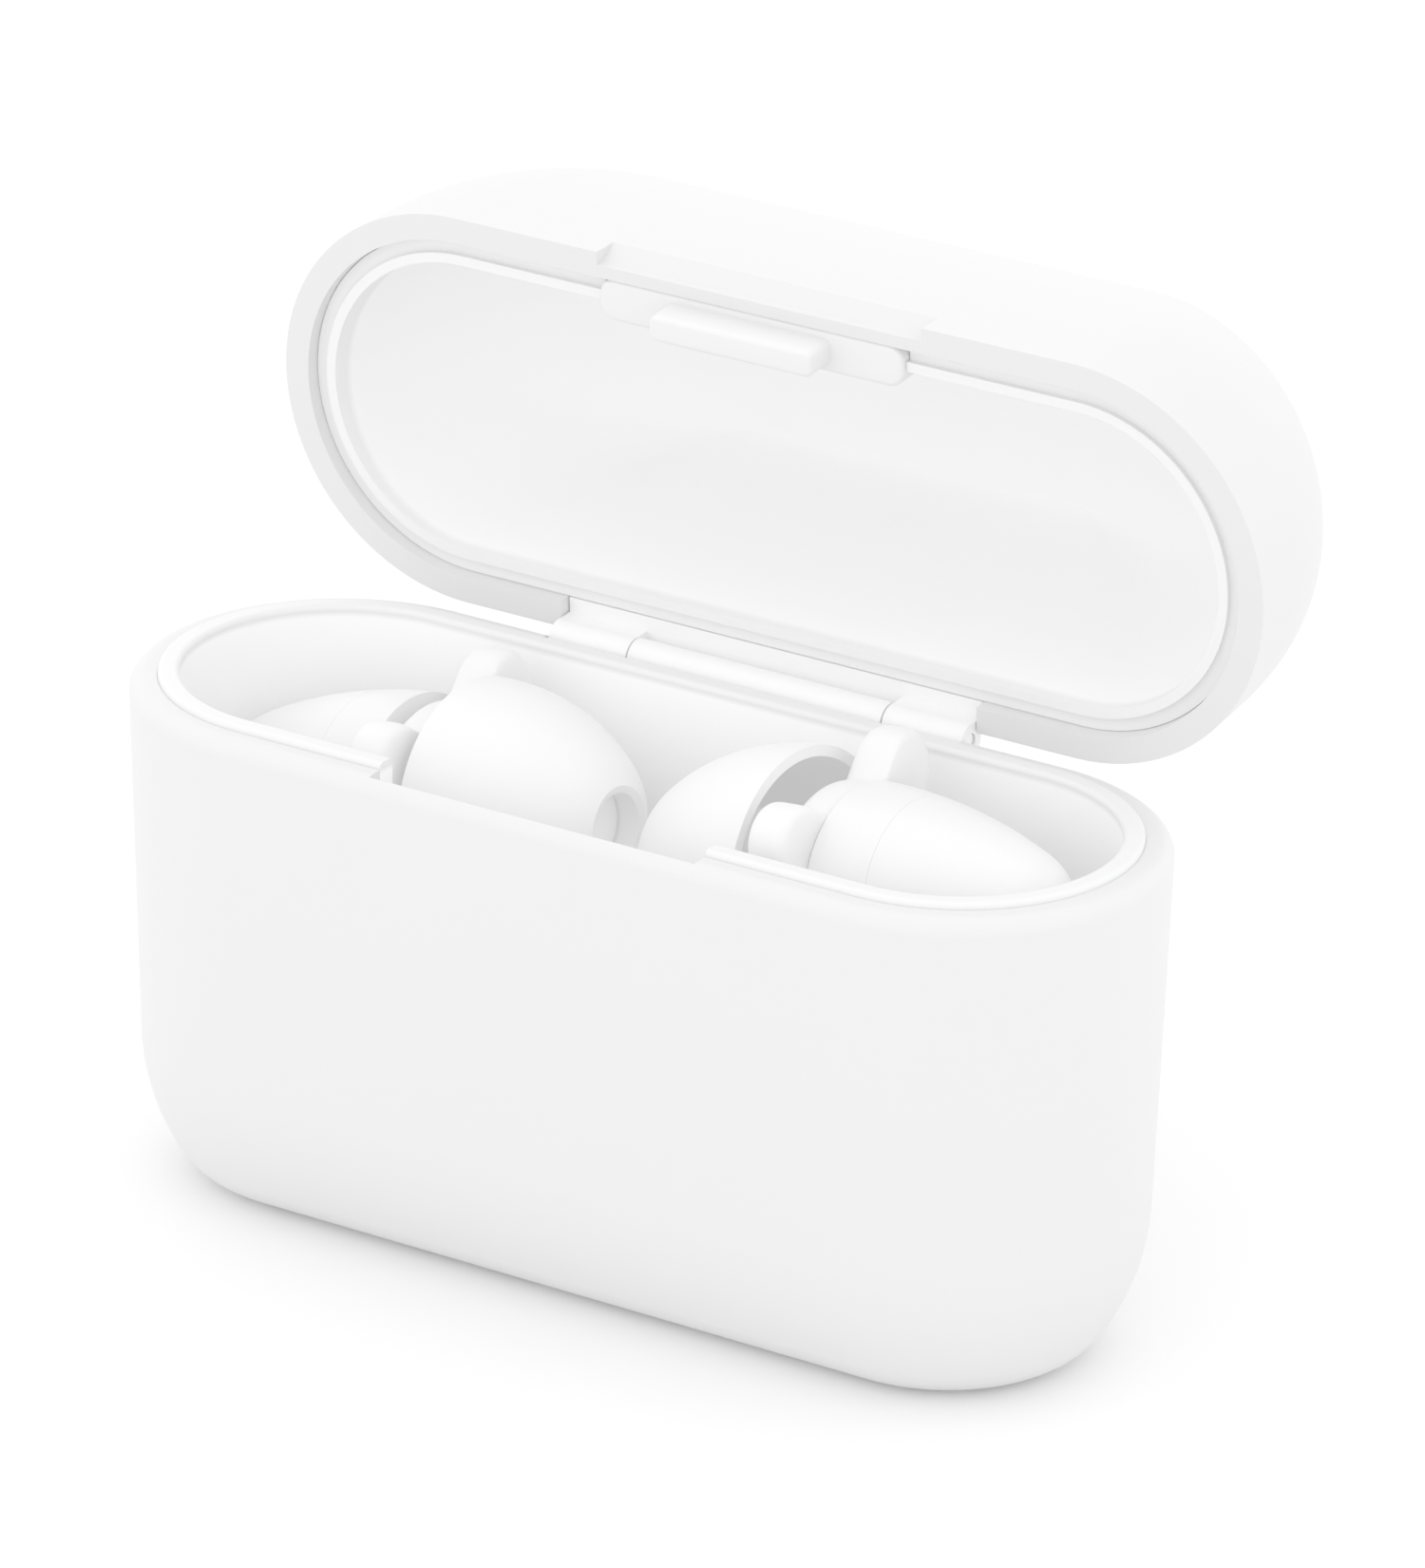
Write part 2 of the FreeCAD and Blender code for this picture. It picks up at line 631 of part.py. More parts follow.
screws = []
for number, (x, y) in enumerate([(x, y) for x in ("post_x", "-post_x") for y in ("post_y", "-post_y")]):
    shank = rod("board_screw_shank_%d" % number, (x, y, BOARD_TOP + " - 4.2"), "0.65", "4.3")
    head = rod("board_screw_head_%d" % number, (x, y, BOARD_TOP), "1.2", "0.7")
    screw = doc.addObject("Part::MultiFuse", "board_screw_%d" % number)
    screw.Shapes = [shank, head]
    screws.append(screw)
group("board_screws", screws)

PORT_MOUTH = "(%s - 0.75)" % HALF_DEPTH


def port_ring(body, width, height):
    """The rounded outline of the socket, drawn at its mouth."""
    sketch = new_sketch(body, "XZ_Plane", "-(%s)" % PORT_MOUTH)
    radius = "(%s) / 2" % height
    half = "((%s) - (%s)) / 2" % (width, height)
    outline(sketch, [
        ("-" + half, "port_z - " + radius),
        (half, "port_z - " + radius, arc_about(half, "port_z")),
        (half, "port_z + " + radius),
        ("-" + half, "port_z + " + radius, arc_about("-" + half, "port_z")),
    ])
    return sketch


usb_c_shell = new_body("usb_c_shell")
feature(usb_c_shell, "Pad", port_ring(usb_c_shell, "8.94", "3.16"), "7.3")
cut_checked(usb_c_shell, "Pocket", port_ring(usb_c_shell, "8.34", "2.56"), "6.6")

usb_c_tongue = new_body("usb_c_tongue")
plate = box_in(new_sketch(usb_c_tongue, "XZ_Plane", "-(%s - 0.6)" % PORT_MOUTH), "-3.35", "port_z - 0.35",
               "3.35", "port_z + 0.35")
feature(usb_c_tongue, "Pad", plate, "5.98")

pairing_button = new_body("pairing_button")
WALL_AT_PORT = drafted("0", "port_z")
for radius, y_from, length in (("button_radius", WALL_AT_PORT + " - 0.06", "1.6"),
                               ("2.7", WALL_AT_PORT + " - 1.62", "0.4"),
                               ("0.8", WALL_AT_PORT + " - 1.8", "0.95")):
    disc = new_sketch(pairing_button, "XZ_Plane", "-(%s)" % y_from)
    circle_in(disc, "button_x", "port_z", radius)
    feature(pairing_button, "Pad", disc, length)

joined("pairing_switch", [
    block("switch_body", ("button_x - 1.75", "5.9", BOARD_TOP), ("3.5", "1.6", "3.0")),
    block("switch_nub", ("button_x - 0.7", "7.4", "port_z - 0.6"), ("1.4", "0.38", "1.2")),
])


# ---------------------------------------------------------------------------------------------
# Earbuds: the same pieces twice, each set drawn in the earbud's own frame
# ---------------------------------------------------------------------------------------------
def bud_pose(side):
    """Ear tips point at each other; the +X axis of the earbud's own frame stays uppermost."""
    yaw, pitch = math.radians(size("bud_yaw")), math.radians(size("bud_pitch"))
    towards = 1 if side == "left" else -1
    along = V(math.cos(yaw) * math.cos(pitch), math.sin(yaw) * math.cos(pitch), math.sin(pitch)) * towards
    across = along.cross(V(0, 0, 1)).normalize()
    up = across.cross(along)
    turn = FreeCAD.Rotation(up, along.cross(up), along, "ZXY")
    place = V(size(side + "_bud_x"), size(side + "_bud_y"), size("base_height + %s_bud_z" % side))
    return FreeCAD.Placement(place, turn)


TIP = corner("tip_radius", "tip_length", "tip_nose_radius")
NOSE_Z = "(tip_length - tip_nose_radius)"
TIP_END_R = "(tip_port_radius + 0.4)"
TIP_END_Z = "(%s + sqrt(tip_nose_radius^2 - %s^2))" % (NOSE_Z, TIP_END_R)
TIP_INNER_SHARE = "((tip_nose_radius - tip_wall) / tip_nose_radius)"
TIP_INNER_Z = "(%s + sqrt((tip_nose_radius - tip_wall)^2 - sleeve_outer^2))" % NOSE_Z
BODY_NOSE = "3.54"
BODY = corner("body_radius", "body_end - 3", BODY_NOSE)
BODY_FLANK = "(body_radius - body_side_radius)"


def body_r(z, inset="0"):
    """Radius of the housing's side arc at a depth z behind the ear tip's rim."""
    return "(%s + sqrt((body_side_radius - (%s))^2 - ((%s) - 3)^2))" % (BODY_FLANK, inset, z)


def bud_revolution(name, pose, points):
    body = new_body(name, pose)
    turned(body, outline(new_sketch(body, "XZ_Plane"), points))
    return body


def make_ear_tip(name, pose):
    flank = arc_about(TIP["flank_centre"], "0")
    nose = arc_about("0", NOSE_Z)
    back_flank = arc_about(TIP["flank_centre"], "0", False)
    back_nose = arc_about("0", NOSE_Z, False)
    inner_meet = ("%s * (%s)" % (TIP_INNER_SHARE, TIP["meet_across"]),
                  "%s + %s * ((%s) - %s)" % (NOSE_Z, TIP_INNER_SHARE, TIP["meet_along"], NOSE_Z))
    return bud_revolution(name, pose, [
        ("tip_radius", "0", flank),
        (TIP["meet_across"], TIP["meet_along"], nose),
        (TIP_END_R, TIP_END_Z),
        ("tip_port_radius", TIP_END_Z + " - 0.15"),
        ("tip_port_radius", TIP_END_Z + " - 1.4"),
        ("sleeve_inner", TIP_END_Z + " - 1.4"),
        ("sleeve_inner", "-1"),
        ("sleeve_outer", "-1"),
        ("sleeve_outer", TIP_INNER_Z, back_nose),
        inner_meet + (back_flank,),
        ("tip_radius - tip_wall", "0"),
    ])


def make_nozzle(name, pose):
    return bud_revolution(name, pose, [
        ("nozzle_bore", "7.3"), ("nozzle_bore", "-1.2"), ("3.2", "-2.0"), ("3.2", "-3.75"),
        ("collar_seat", "-3.75"), ("collar_seat", "-1.2"), ("nozzle_radius", "-1.2"),
        ("nozzle_radius", "7.3"),
    ])


def make_nozzle_mesh(name, pose):
    return bud_revolution(name, pose, [("0", "7.33"), ("2.15", "7.33"), ("2.15", "7.55"), ("0", "7.55")])


LOBES = ((42, "lobe_reach + 0.5", 1.8), (-52, "lobe_reach", 2.0), (140, "lobe_reach - 0.9", 1.6),
         (-140, "lobe_reach - 0.9", 1.6))


def make_collar(name, pose, foot):
    """A soft ring with four rounded lobes round the seat of the nozzle, 2.4 mm thick."""
    body = new_body(name, pose)
    ring = new_sketch(body, "XY_Plane", foot)
    circle_in(ring, "0", "0", "5.3")
    feature(body, "Pad", ring, "2.4")
    mirror = 1 if name.startswith("right") else -1
    for angle, tip, half in LOBES:
        lobe = new_sketch(body, "XY_Plane", foot)
        along, across = "cos(%d)" % (mirror * angle), "sin(%d)" % (mirror * angle)
        centre = ("(%s - %s) * %s" % (tip, half, along), "(%s - %s) * %s" % (tip, half, across))
        outline(lobe, [
            ("3 * %s + %s * %s" % (along, half, across), "3 * %s - %s * %s" % (across, half, along)),
            ("%s + %s * %s" % (centre[0], half, across), "%s - %s * %s" % (centre[1], half, along),
             arc_about(*centre)),
            ("%s - %s * %s" % (centre[0], half, across), "%s + %s * %s" % (centre[1], half, along)),
            ("3 * %s - %s * %s" % (along, half, across), "3 * %s + %s * %s" % (across, half, along)),
        ])
        feature(body, "Pad", lobe, "2.4")
    bore = new_sketch(body, "XY_Plane", "-4")
    circle_in(bore, "0", "0", "collar_seat + 0.03")
    cut_checked(body, "Pocket", bore, "5", reverse=True)
    return body


def make_body_front(name, pose):
    side = arc_about(BODY_FLANK, "-3")
    return bud_revolution(name, pose, [
        ("3.15", "-3.8"), ("3.15", "-4.7"),
        (body_r("4.7", "body_wall"), "-4.7", arc_about(BODY_FLANK, "-3", False)),
        (body_r("seam_z", "body_wall"), "-seam_z"),
        (body_r("seam_z"), "-seam_z", side),
        (body_r("3.8"), "-3.8"),
    ])


def make_body_cap(name, pose):
    """Domed rear housing with two holes underneath for the charging contacts."""
    nose_centre = ("0", "-(3 + %s)" % BODY["nose_centre"])
    share = "((%s - body_wall) / %s)" % (BODY_NOSE, BODY_NOSE)
    meet_out = (BODY["meet_across"], "-(3 + %s)" % BODY["meet_along"])
    meet_in = ("%s * (%s)" % (share, BODY["meet_across"]),
               "-(3 + %s + %s * ((%s) - (%s)))" % (BODY["nose_centre"], share, BODY["meet_along"],
                                                  BODY["nose_centre"]))
    body = bud_revolution(name, pose, [
        (body_r("seam_z + 0.02"), "-seam_z - 0.02"),
        (body_r("seam_z + 0.02", "body_wall"), "-seam_z - 0.02", arc_about(BODY_FLANK, "-3", False)),
        meet_in + (arc_about(*nose_centre, ccw=False),),
        ("0", "-(body_end - body_wall)"),
        ("0", "-body_end", arc_about(*nose_centre)),
        meet_out + (arc_about(BODY_FLANK, "-3"),),
    ])
    holes = new_sketch(body, "YZ_Plane", "-body_radius - 1")
    for z in CONTACT_DEPTHS:
        circle_in(holes, "0", "-" + z, "0.85")
    cut_checked(body, "Pocket", holes, "body_radius", reverse=True)
    return body


CONTACT_DEPTHS = ("8.9", "11.7")


def along_down(name, pose, depth, radius, top, bottom):
    """A short pin that runs down through the underside of the housing."""
    item = doc.addObject("Part::Cylinder", name)
    item.setExpression("Radius", bound(radius))
    item.setExpression("Height", bound("(%s) - (%s)" % (bottom, top)))
    place = V(-size(top), 0, -size(depth))
    item.Placement = pose.multiply(FreeCAD.Placement(place, FreeCAD.Rotation(V(0, 0, 1), V(-1, 0, 0))))
    return item


def make_charge_contacts(name, pose):
    return group(name, [
        along_down("%s_%d" % (name, number), pose, depth, "0.78", body_r(depth) + " - 1.0", body_r(depth))
        for number, depth in enumerate(CONTACT_DEPTHS)])


def disc_between(name, pose, z_low, z_high, radius):
    return bud_revolution(name, pose, [("0", z_low), (radius, z_low), (radius, z_high), ("0", z_high)])


for side in ("left", "right"):
    pose = bud_pose(side)
    make_ear_tip(side + "_ear_tip", pose)
    make_nozzle(side + "_nozzle", pose)
    make_nozzle_mesh(side + "_nozzle_mesh", pose)
    make_collar(side + "_collar", pose, "-3.75" if side == "right" else "-3.2")
    make_body_front(side + "_front_housing", pose)
    make_body_cap(side + "_rear_housing", pose)
    make_charge_contacts(side + "_charge_contacts", pose)
    disc_between(side + "_speaker", pose, "-6.4", "-4.0", "3.05")
    disc_between(side + "_coin_cell", pose, "-9.9", "-7.1", "3.4")
    disc_between(side + "_bud_board", pose, "-10.9", "-10.3", "2.9")
    disc_between(side + "_bud_magnet", pose, "-13.4", "-12.3", "1.5")
    microphone = new_body(side + "_microphone", pose)
    capsule = box_in(new_sketch(microphone, "XY_Plane", "-11.75"), "0.2", "-0.9", "2.2", "0.9")
    feature(microphone, "Pad", capsule, "0.8")


# ---------------------------------------------------------------------------------------------
# Seats, magnets and sprung charging pins under the earbuds
# ---------------------------------------------------------------------------------------------
PIN_BOARD_TOP = "(pin_board_z + pin_board_thickness)"
BOSSES = (("12", "3"), ("12", "-3"), ("-12", "3"), ("-12", "-3"))


def contact_place(side, depth):
    """Where the middle of a contact's outer face lies in the case."""
    return bud_pose(side).multVec(V(-size(body_r(depth)), 0, -size(depth)))


def fixed_rod(name, place, radius, height):
    """An upright cylinder whose foot stands at a place worked out from an earbud's pose."""
    item = doc.addObject("Part::Cylinder", name)
    item.setExpression("Radius", bound(radius))
    item.setExpression("Height", bound(height))
    item.Placement = FreeCAD.Placement(V(*place), FreeCAD.Rotation())
    return item


PLACES = {side: [contact_place(side, depth) for depth in CONTACT_DEPTHS] for side in ("left", "right")}
ALL_PLACES = PLACES["left"] + PLACES["right"]

pin_holes = new_sketch(charging_tray, "XY_Plane", "tray_floor + 1")
for place in ALL_PLACES:
    circle_in(pin_holes, "%.3f" % place.x, "%.3f" % place.y, "0.8")
circle_in(pin_holes, "0", "-4", "0.95")
cut_checked(charging_tray, "Pocket", pin_holes, "tray_floor_thickness + 2")
boss_plan = new_sketch(charging_tray, "XY_Plane", PIN_BOARD_TOP)
for x, y in BOSSES:
    circle_in(boss_plan, x, y, "1.3")
feature(charging_tray, "Pad", boss_plan, "%s - %s + 0.2" % (TRAY_BOTTOM, PIN_BOARD_TOP))
boss_holes = new_sketch(charging_tray, "XY_Plane", PIN_BOARD_TOP + " - 1")
for x, y in BOSSES:
    circle_in(boss_holes, x, y, "0.55")
cut_checked(charging_tray, "Pocket", boss_holes, "3.1", reverse=True)

pin_board = new_body("pin_board")
pin_board_plan = box_in(new_sketch(pin_board, "XY_Plane", "pin_board_z"), "-24", "-4.8", "24", "4.8")
feature(pin_board, "Pad", pin_board_plan, "pin_board_thickness")
boss_clearance = new_sketch(pin_board, "XY_Plane", "pin_board_z - 1")
for x, y in BOSSES:
    circle_in(boss_clearance, x, y, "0.6")
cut_checked(pin_board, "Pocket", boss_clearance, "pin_board_thickness + 2", reverse=True)

pin_board_screws = []
for number, (x, y) in enumerate(BOSSES):
    screw = doc.addObject("Part::MultiFuse", "pin_board_screw_%d" % number)
    screw.Shapes = [
        rod("pin_screw_head_%d" % number, (x, y, "pin_board_z - 0.6"), "1.1", "0.6"),
        rod("pin_screw_shank_%d" % number, (x, y, "pin_board_z - 0.1"), "0.5", "2.4"),
    ]
    pin_board_screws.append(screw)
group("pin_board_screws", pin_board_screws)

single(block("status_led", ("-0.8", "-4.5", PIN_BOARD_TOP), ("1.6", "1.0", "0.6")))
single(rod("light_pipe", ("0", "-4", PIN_BOARD_TOP + " + 0.65"), "0.9",
           "tray_floor - %s - 0.65" % PIN_BOARD_TOP))
single(block("hall_sensor", ("13.8", "-4.7", PIN_BOARD_TOP), ("2.9", "1.4", "1.0")))

board_flex = new_body("board_flex")
FLEX_FRONT, FLEX_BACK = "-7.1", "-6.95"
ribbon = outline(new_sketch(board_flex, "YZ_Plane", "-17.5"), [
    (FLEX_FRONT, BOARD_TOP),
    ("-5.0", BOARD_TOP),
    ("-5.0", BOARD_TOP + " + 0.15"),
    (FLEX_BACK, BOARD_TOP + " + 0.15"),
    (FLEX_BACK, "pin_board_z - 0.15"),
    ("-3.6", "pin_board_z - 0.15"),
    ("-3.6", "pin_board_z"),
    (FLEX_FRONT, "pin_board_z"),
])
feature(board_flex, "Pad", ribbon, "5", midplane=True)

group("tray_magnets", [
    rod("tray_magnet_" + side, (x, "0", TRAY_BOTTOM + " - 1.15"), "1.6", "1.15")
    for side, x in (("left", "-26"), ("right", "26"))])

barrels = []
for number, place in enumerate(ALL_PLACES):
    tube = doc.addObject("Part::Cut", "pin_barrel_%d" % number)
    foot = size(PIN_BOARD_TOP)
    tube.Base = fixed_rod("barrel_outside_%d" % number, (place.x, place.y, foot), "0.75", "2.4")
    tube.Tool = fixed_rod("barrel_bore_%d" % number, (place.x, place.y, foot + 0.4), "0.5", "3")
    barrels.append(tube)
group("pin_barrels", barrels)

for side in ("left", "right"):
    plungers, springs = [], []
    for number, place in enumerate(PLACES[side]):
        name = "%s_%d" % (side, number)
        spring_foot = size(PIN_BOARD_TOP) + 0.42
        plunger_foot = spring_foot + 1.12
        plungers.append(fixed_rod("plunger_" + name, (place.x, place.y, plunger_foot), "0.42",
                                  "%.3f" % (place.z - 0.12 - plunger_foot)))
        coil = doc.addObject("Part::Cut", "pin_coil_" + name)
        coil.Base = fixed_rod("coil_outside_" + name, (place.x, place.y, spring_foot), "0.44", "1.1")
        coil.Tool = fixed_rod("coil_inside_" + name, (place.x, place.y, spring_foot - 0.1), "0.24", "1.3")
        springs.append(coil)
    group(side + "_charging_pins", plungers)
    group(side + "_pin_springs", springs)

for side, low, high, top in (("left", "-24.5", "-15.5", "19.5"), ("right", "15.5", "24.5", "22.3")):
    pose = bud_pose(side)
    envelope = doc.addObject("PartDesign::Body", side + "_bud_envelope")
    envelope.Placement = pose
    room = "-0.18"
    flank = arc_about(BODY_FLANK, "-3")
    turned(envelope, outline(new_sketch(envelope, "XZ_Plane"), [
        (body_r("15", room), "-15", flank), (body_r("3.6", room), "-3.6"), ("0", "-3.6"), ("0", "-15")]))
    tool = doc.addObject("Part::MultiFuse", side + "_cradle_tool")
    tool.Shapes = [envelope] + [
        fixed_rod("%s_cradle_hole_%d" % (side, number), (place.x, place.y, size("tray_floor") - 1),
                  "0.95", "8")
        for number, place in enumerate(PLACES[side])]
    cradle = block(side + "_cradle_block", (low, "-4.8", "tray_floor"),
                   ("%s - (%s)" % (high, low), "9.6", "%s - tray_floor" % top))
    cut_away(side + "_cradle", cradle, tool)


doc.recompute()
for item in doc.Objects:
    for word in item.State:
        if word in ("Invalid", "Error"):
            raise RuntimeError(item.Name + " failed: " + str(item.State))
os.makedirs("parts", exist_ok=True)
for item in subparts:
    if item.Shape.isNull() or not item.Shape.isValid():
        raise RuntimeError(item.Label + " has no valid shape")
    item.Shape.exportStep("parts/" + item.Label + ".step")
    print("%-24s %9.2f mm3" % (item.Label, item.Shape.Volume))
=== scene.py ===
"""Looks for the earbud case: camera, studio, materials, and the softly rounded collars and latch.

Lengths are in millimetres and become metres by MM. The floor, the lights and the grain of the
materials are given in metres.
"""
import json
import math

import bmesh
import bpy
from mathutils import Matrix, Vector


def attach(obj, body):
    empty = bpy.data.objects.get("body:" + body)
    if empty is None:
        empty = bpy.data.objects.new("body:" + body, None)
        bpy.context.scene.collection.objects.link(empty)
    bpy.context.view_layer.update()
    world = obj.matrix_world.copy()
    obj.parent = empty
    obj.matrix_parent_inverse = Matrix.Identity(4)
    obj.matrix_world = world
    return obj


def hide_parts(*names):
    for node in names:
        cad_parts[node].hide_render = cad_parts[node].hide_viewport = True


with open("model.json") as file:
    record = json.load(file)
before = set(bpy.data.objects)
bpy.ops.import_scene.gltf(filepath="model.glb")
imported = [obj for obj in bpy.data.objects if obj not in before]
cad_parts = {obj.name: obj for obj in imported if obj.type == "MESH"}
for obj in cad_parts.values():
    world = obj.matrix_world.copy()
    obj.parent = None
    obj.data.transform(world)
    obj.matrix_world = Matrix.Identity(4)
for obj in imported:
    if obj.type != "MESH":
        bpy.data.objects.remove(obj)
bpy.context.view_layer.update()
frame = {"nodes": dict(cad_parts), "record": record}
MM = 0.001


def add_object(name, data):
    piece = bpy.data.objects.new(name, data)
    bpy.context.collection.objects.link(piece)
    return piece


# ---------------------------------------------------------------------------------------------
# Camera
# ---------------------------------------------------------------------------------------------
AZIMUTH, ELEVATION, ROLL = math.radians(31.94), math.radians(23.06), math.radians(0.97)
DISTANCE, LOOK_HEIGHT = 566.83, 20.0
SHIFT_RIGHT, SHIFT_UP = 3.73, 6.24
SENSOR_HEIGHT, FOCAL_LENGTH = 36.0, 248.04
FARTHEST_SEEN_M = 50


def make_camera():
    back = Vector((math.sin(AZIMUTH) * math.cos(ELEVATION),
                   -math.cos(AZIMUTH) * math.cos(ELEVATION),
                   math.sin(ELEVATION)))
    level = Vector((math.cos(AZIMUTH), math.sin(AZIMUTH), 0))
    upright = back.cross(level)
    right = level * math.cos(ROLL) + upright * math.sin(ROLL)
    up = upright * math.cos(ROLL) - level * math.sin(ROLL)
    place = Vector((0, 0, LOOK_HEIGHT)) + back * DISTANCE + right * SHIFT_RIGHT + up * SHIFT_UP
    data = bpy.data.cameras.new("camera")
    data.sensor_fit = "VERTICAL"
    data.sensor_height = SENSOR_HEIGHT
    data.lens = FOCAL_LENGTH
    data.clip_end = FARTHEST_SEEN_M
    camera = add_object("camera", data)
    turn = Matrix((right, up, back)).transposed().to_4x4()
    camera.matrix_world = Matrix.Translation(place * MM) @ turn
    bpy.context.scene.camera = camera


# ---------------------------------------------------------------------------------------------
# Studio
# ---------------------------------------------------------------------------------------------
FLOOR_REACH, FLOOR_COLOUR, FLOOR_ROUGHNESS = 6.0, (0.84, 0.84, 0.84), 0.9
WORLD_COLOUR, WORLD_STRENGTH = (1, 1, 1, 1), 1.4
TONE_GAMMA = 1.8
SOFTBOXES = (  # name, place, target, width, height, power in watts
    ("front_softbox", (-0.1, -0.9, 0.5), (0, 0, 0.03), 0.9, 0.6, 0.12),
    ("left_softbox", (-0.7, -0.5, 0.6), (0, 0, 0.03), 0.5, 0.5, 0.08),
    ("right_softbox", (0.8, -0.1, 0.5), (0, 0, 0.03), 0.5, 0.5, 0.04),
    ("top_softbox", (0.0, 0.1, 0.9), (0, 0, 0.02), 0.5, 0.5, 0.08),
)


def plain_material(name, colour, roughness):
    material = bpy.data.materials.new(name)
    material.use_nodes = True
    shader = material.node_tree.nodes["Principled BSDF"]
    shader.inputs["Base Color"].default_value = (*colour, 1)
    shader.inputs["Roughness"].default_value = roughness
    return material


def make_floor():
    mesh = bpy.data.meshes.new("floor")
    corners = [(x * FLOOR_REACH, y * FLOOR_REACH, 0) for x, y in ((-1, -1), (1, -1), (1, 1), (-1, 1))]
    mesh.from_pydata(corners, [], [(0, 1, 2, 3)])
    mesh.materials.append(plain_material("floor_paper", FLOOR_COLOUR, FLOOR_ROUGHNESS))
    add_object("floor", mesh)


def make_softbox(name, place, target, width, height, power):
    data = bpy.data.lights.new(name, "AREA")
    data.shape = "RECTANGLE"
    data.size, data.size_y = width, height
    data.energy = power
    light = add_object(name, data)
    light.location = place
    light.rotation_euler = (Vector(target) - Vector(place)).to_track_quat("-Z", "Y").to_euler()


def make_studio():
    make_floor()
    scene = bpy.context.scene
    scene.world = scene.world or bpy.data.worlds.new("studio")
    scene.world.use_nodes = True
    background = scene.world.node_tree.nodes["Background"]
    background.inputs["Color"].default_value = WORLD_COLOUR
    background.inputs["Strength"].default_value = WORLD_STRENGTH
    for softbox in SOFTBOXES:
        make_softbox(*softbox)
    scene.view_settings.view_transform = "Standard"
    scene.view_settings.gamma = TONE_GAMMA


# ---------------------------------------------------------------------------------------------
# Materials
# ---------------------------------------------------------------------------------------------
MOTTLE_SCALE, MOTTLE_DETAIL, MOTTLE_GLOSS = 90.0, 4.0, 0.05
GRAIN_DETAIL, GRAIN_STRENGTH = 3.0, 0.25
STREAK_DETAIL, STREAK_GLOSS = 5.0, 0.3
# sockets of the Mix node when it mixes colours, which share their names with its other kinds
MIX_FACTOR, MIX_FROM, MIX_TO, MIX_RESULT = 0, 6, 7, 2


def grey(level):
    return (level, level, level)


def add_noise(tree, place, scale, detail):
    noise = tree.nodes.new("ShaderNodeTexNoise")
    noise.inputs["Scale"].default_value = scale
    noise.inputs["Detail"].default_value = detail
    tree.links.new(place.outputs["Object"], noise.inputs["Vector"])
    return noise


def vary_gloss(tree, shader, noise, lowest, highest):
    gloss = tree.nodes.new("ShaderNodeMapRange")
    gloss.inputs["To Min"].default_value = lowest
    gloss.inputs["To Max"].default_value = highest
    tree.links.new(noise.outputs["Fac"], gloss.inputs["Value"])
    tree.links.new(gloss.outputs["Result"], shader.inputs["Roughness"])


def add_mix(tree, factor, colour):
    """A mix that goes to this colour as the factor rises."""
    mix = tree.nodes.new("ShaderNodeMix")
    mix.data_type = "RGBA"
    mix.inputs[MIX_TO].default_value = (*colour, 1)
    tree.links.new(factor, mix.inputs[MIX_FACTOR])
    return mix


def add_painted_shade_band(tree, place, colours, axis, start, end, shaded_level):
    """Painted shade: fade to the grey shaded_level along an axis, from start to end, darkening a lip by
    where it lies.
    """
    split = tree.nodes.new("ShaderNodeSeparateXYZ")
    tree.links.new(place.outputs["Object"], split.inputs["Vector"])
    fade = tree.nodes.new("ShaderNodeMapRange")
    fade.inputs["From Min"].default_value = start * MM
    fade.inputs["From Max"].default_value = end * MM
    tree.links.new(split.outputs[axis], fade.inputs["Value"])
    blend = add_mix(tree, fade.outputs["Result"], grey(shaded_level))
    tree.links.new(colours, blend.inputs[MIX_FROM])
    return blend.outputs[MIX_RESULT]


def moulded(name, colour, roughness, grain_size, grain_depth, tint=0.0, painted_glow=0.0, painted_shade_band=None):
    """Moulded plastic or silicone: a faint mottle in colour and gloss, and a fine moulded grain.

    painted_glow is painted light: a steady emission that lifts the shade in gaps, standing in for the
    light that thin white walls let through. painted_shade_band holds add_painted_shade_band's axis,
    start, end and shaded_level.
    """
    material = plain_material(name, colour, roughness)
    tree = material.node_tree
    shader = tree.nodes["Principled BSDF"]
    place = tree.nodes.new("ShaderNodeTexCoord")
    mottle = add_noise(tree, place, MOTTLE_SCALE, MOTTLE_DETAIL)
    vary_gloss(tree, shader, mottle, roughness - MOTTLE_GLOSS, roughness + MOTTLE_GLOSS)
    shade = add_mix(tree, mottle.outputs["Fac"], colour)
    shade.inputs[MIX_FROM].default_value = (*[channel * (1 - tint) for channel in colour], 1)
    colours = shade.outputs[MIX_RESULT]
    # painted shade: darken a lip by where it lies
    if painted_shade_band:
        colours = add_painted_shade_band(tree, place, colours, *painted_shade_band)
    tree.links.new(colours, shader.inputs["Base Color"])
    grain = add_noise(tree, place, 1.0 / grain_size, GRAIN_DETAIL)
    bump = tree.nodes.new("ShaderNodeBump")
    bump.inputs["Strength"].default_value = GRAIN_STRENGTH
    bump.inputs["Distance"].default_value = grain_depth
    tree.links.new(grain.outputs["Fac"], bump.inputs["Height"])
    tree.links.new(bump.outputs["Normal"], shader.inputs["Normal"])
    # painted light: a steady glow in the plastic's own colour that lifts its shade
    shader.inputs["Emission Color"].default_value = (*colour, 1)
    shader.inputs["Emission Strength"].default_value = painted_glow
    return material


